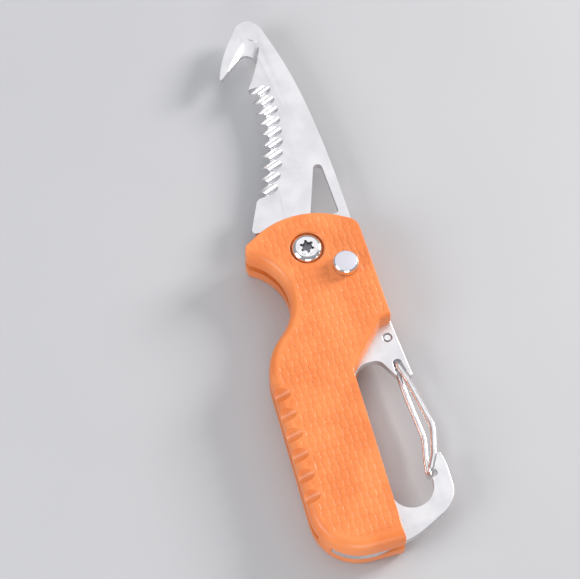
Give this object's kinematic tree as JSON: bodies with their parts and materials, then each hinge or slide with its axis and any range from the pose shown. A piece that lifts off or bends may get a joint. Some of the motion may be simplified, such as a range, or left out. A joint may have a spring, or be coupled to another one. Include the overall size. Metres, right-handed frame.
{
  "type": "folding rigging knife",
  "caption": "Folding rigging knife with a hook-tipped saw blade, button lock, contoured textured handle halves and a wire-gate carabiner at its tail.",
  "frame": {"origin": "middle of the underside of the whole open knife, on the plane that its back face rests on", "axes": "+Y towards the blade's tip, +Z out of the front face with the button and pivot screw, +X towards the carabiner opening"},
  "size_m": [0.0358, 0.1528, 0.0154],
  "materials": {
    "orange_nylon": "moulded glass-filled nylon with a woven grip texture",
    "liner_steel": "plain blanked steel",
    "frame_steel": "satin stonewashed stainless steel",
    "blade_steel": "satin bead-blasted stainless steel with ground flutes",
    "bronze": "plain bronze and brass",
    "polished_steel": "polished stainless steel",
    "button_steel": "satin face with a polished rim",
    "spring_steel": "drawn spring wire",
    "gate_steel": "polished drawn stainless wire",
    "black_screw": "black oxide"
  },
  "bodies": {
    "handle": {"front_scale": "orange_nylon", "back_scale": "orange_nylon", "front_liner": "liner_steel", "back_liner": "liner_steel", "carabiner_frame": "frame_steel", "front_washer": "bronze", "back_washer": "bronze", "pivot_screw": "polished_steel", "pivot_barrel": "polished_steel", "stop_pin": "liner_steel", "button_spring": "spring_steel", "gate_wire_heel": "gate_steel", "handle_screws": "black_screw", "threaded_inserts": "bronze", "liner_screws": "liner_steel"},
    "blade": {"blade": "blade_steel"},
    "button": {"lock_button": "button_steel"},
    "gate": {"gate_wire": "gate_steel"}
  },
  "joints": [
    {"name": "blade_fold", "type": "hinge", "parent": "handle", "child": "blade", "pos_m": [0.00029, 0.00315, 0.0065], "axis": [0, 0, 1], "range_deg": [0, 171.5]},
    {"name": "button_press", "type": "slide", "parent": "handle", "child": "button", "axis": [0, 0, -1], "range_m": [0, 0.0022], "stiffness_N_per_m": 1200, "springref_m": -0.001, "deforming": ["button_spring"]},
    {"name": "gate_swing", "type": "hinge", "parent": "handle", "child": "gate", "pos_m": [0.01389, -0.03105, 0.0065], "axis": [0, 0, -1], "range_deg": [0, 18], "stiffness_Nm_per_rad": 0.12, "springref_deg": -8.59}
  ]
}
